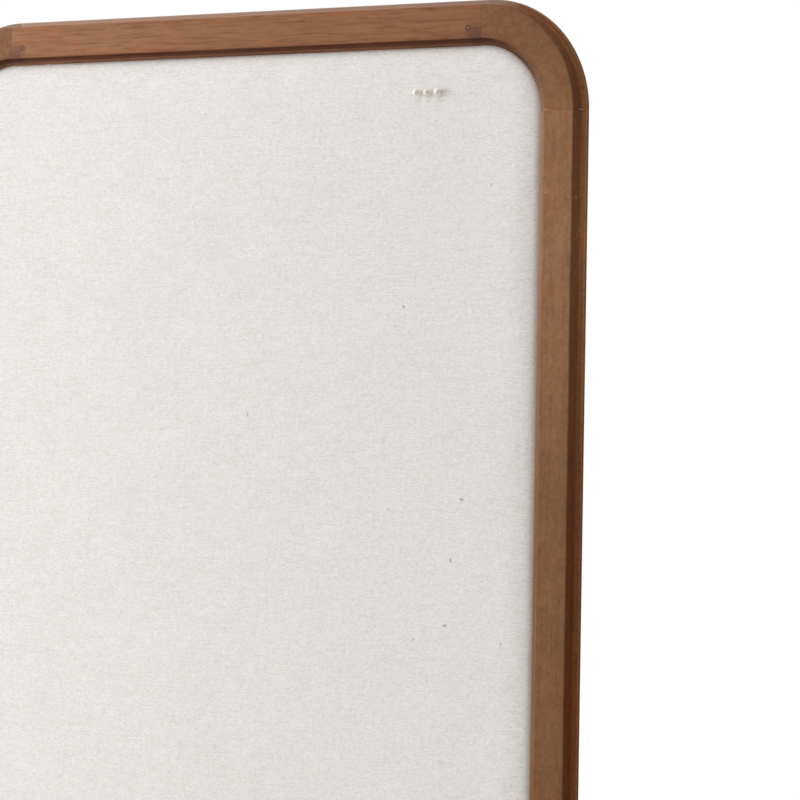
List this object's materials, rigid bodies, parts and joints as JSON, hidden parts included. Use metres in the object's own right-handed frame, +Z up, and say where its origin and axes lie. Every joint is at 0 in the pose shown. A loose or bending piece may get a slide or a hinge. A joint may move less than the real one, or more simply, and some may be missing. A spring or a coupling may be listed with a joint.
{
  "type": "bulletin board",
  "caption": "Wall-hung pin board: linen over soft board in a round-cornered stained wood frame, with pearl-headed pins, turn buttons and D-ring hangers.",
  "frame": {"origin": "centre of the top rail's flat back face, the face that hangs against the wall", "axes": "+X to the right of someone facing the board, +Z up, +Y back to the wall; the linen faces -Y"},
  "size_m": [0.61, 0.0235, 0.914],
  "materials": {
    "stained_wood": "brown stain under a thin satin coat",
    "tenon_wood": "bare",
    "brad_steel": "plain wire",
    "wood_filler": "tinted filler, matt",
    "soft_board": "raw soft fibreboard",
    "linen": "plain-woven oatmeal linen with slubs",
    "pearl": "pearly coat",
    "needle_steel": "polished",
    "brassed_steel": "brass-plated steel",
    "zinc_steel": "zinc-plated",
    "bumper_rubber": "matt"
  },
  "bodies": {
    "frame": {"top_rail": "stained_wood", "right_rail": "stained_wood", "bottom_rail": "stained_wood", "left_rail": "stained_wood", "corner_top_right": "stained_wood", "corner_bottom_right": "stained_wood", "corner_bottom_left": "stained_wood", "corner_top_left": "stained_wood", "tenon_top_rail_left": "tenon_wood", "tenon_top_rail_right": "tenon_wood", "tenon_right_rail_upper": "tenon_wood", "tenon_right_rail_lower": "tenon_wood", "tenon_bottom_rail_right": "tenon_wood", "tenon_bottom_rail_left": "tenon_wood", "tenon_left_rail_lower": "tenon_wood", "tenon_left_rail_upper": "tenon_wood", "brad_top_left": "brad_steel", "brad_top_right": "brad_steel", "brad_bottom_right": "brad_steel", "brad_bottom_left": "brad_steel", "brad_filler_top_left": "wood_filler", "brad_filler_top_right": "wood_filler", "brad_filler_bottom_right": "wood_filler", "brad_filler_bottom_left": "wood_filler", "turn_screw_top_left": "brassed_steel", "turn_screw_top_right": "brassed_steel", "turn_screw_right_upper": "brassed_steel", "turn_screw_right_lower": "brassed_steel", "turn_screw_bottom_right": "brassed_steel", "turn_screw_bottom_left": "brassed_steel", "turn_screw_left_lower": "brassed_steel", "turn_screw_left_upper": "brassed_steel", "hanger_strap_left": "zinc_steel", "hanger_strap_right": "zinc_steel", "hanger_screw_left_upper": "zinc_steel", "hanger_screw_left_lower": "zinc_steel", "hanger_screw_right_upper": "zinc_steel", "hanger_screw_right_lower": "zinc_steel", "bumper_left": "bumper_rubber", "bumper_right": "bumper_rubber", "pin_board": "soft_board", "linen_cover": "linen"},
    "pin_left": {"pin_pearl_left": "pearl", "pin_needle_left": "needle_steel"},
    "pin_middle": {"pin_pearl_middle": "pearl", "pin_needle_middle": "needle_steel"},
    "pin_right": {"pin_pearl_right": "pearl", "pin_needle_right": "needle_steel"},
    "ring_left": {"hanger_ring_left": "zinc_steel"},
    "ring_right": {"hanger_ring_right": "zinc_steel"},
    "button_top_left": {"turn_button_top_left": "brassed_steel"},
    "button_top_right": {"turn_button_top_right": "brassed_steel"},
    "button_right_upper": {"turn_button_right_upper": "brassed_steel"},
    "button_right_lower": {"turn_button_right_lower": "brassed_steel"},
    "button_bottom_right": {"turn_button_bottom_right": "brassed_steel"},
    "button_bottom_left": {"turn_button_bottom_left": "brassed_steel"},
    "button_left_lower": {"turn_button_left_lower": "brassed_steel"},
    "button_left_upper": {"turn_button_left_upper": "brassed_steel"}
  },
  "joints": [
    {"name": "pin_left_pull", "type": "slide", "parent": "frame", "child": "pin_left", "axis": [0, -1, 0], "range_m": [0, 0.012]},
    {"name": "pin_middle_pull", "type": "slide", "parent": "frame", "child": "pin_middle", "axis": [0, -1, 0], "range_m": [0, 0.012]},
    {"name": "pin_right_pull", "type": "slide", "parent": "frame", "child": "pin_right", "axis": [0, -1, 0], "range_m": [0, 0.012]},
    {"name": "hanger_ring_left_swing", "type": "hinge", "parent": "frame", "child": "ring_left", "pos_m": [-0.2913, 0.00235, -0.1763], "axis": [-1, 0, 0], "range_deg": [0, 160]},
    {"name": "hanger_ring_right_swing", "type": "hinge", "parent": "frame", "child": "ring_right", "pos_m": [0.2913, 0.00235, -0.1763], "axis": [-1, 0, 0], "range_deg": [0, 160]},
    {"name": "turn_button_top_left_turn", "type": "hinge", "parent": "frame", "child": "button_top_left", "pos_m": [-0.1204, 0, 0.0015], "axis": [0, 1, 0], "continuous": true},
    {"name": "turn_button_top_right_turn", "type": "hinge", "parent": "frame", "child": "button_top_right", "pos_m": [0.1204, 0, 0.0015], "axis": [0, 1, 0], "continuous": true},
    {"name": "turn_button_right_upper_turn", "type": "hinge", "parent": "frame", "child": "button_right_upper", "pos_m": [0.2928, 0, -0.2709], "axis": [0, 1, 0], "continuous": true},
    {"name": "turn_button_right_lower_turn", "type": "hinge", "parent": "frame", "child": "button_right_lower", "pos_m": [0.2928, 0, -0.6157], "axis": [0, 1, 0], "continuous": true},
    {"name": "turn_button_bottom_right_turn", "type": "hinge", "parent": "frame", "child": "button_bottom_right", "pos_m": [0.1204, 0, -0.8881], "axis": [0, 1, 0], "continuous": true},
    {"name": "turn_button_bottom_left_turn", "type": "hinge", "parent": "frame", "child": "button_bottom_left", "pos_m": [-0.1204, 0, -0.8881], "axis": [0, 1, 0], "continuous": true},
    {"name": "turn_button_left_lower_turn", "type": "hinge", "parent": "frame", "child": "button_left_lower", "pos_m": [-0.2928, 0, -0.6157], "axis": [0, 1, 0], "continuous": true},
    {"name": "turn_button_left_upper_turn", "type": "hinge", "parent": "frame", "child": "button_left_upper", "pos_m": [-0.2928, 0, -0.2709], "axis": [0, 1, 0], "continuous": true}
  ]
}
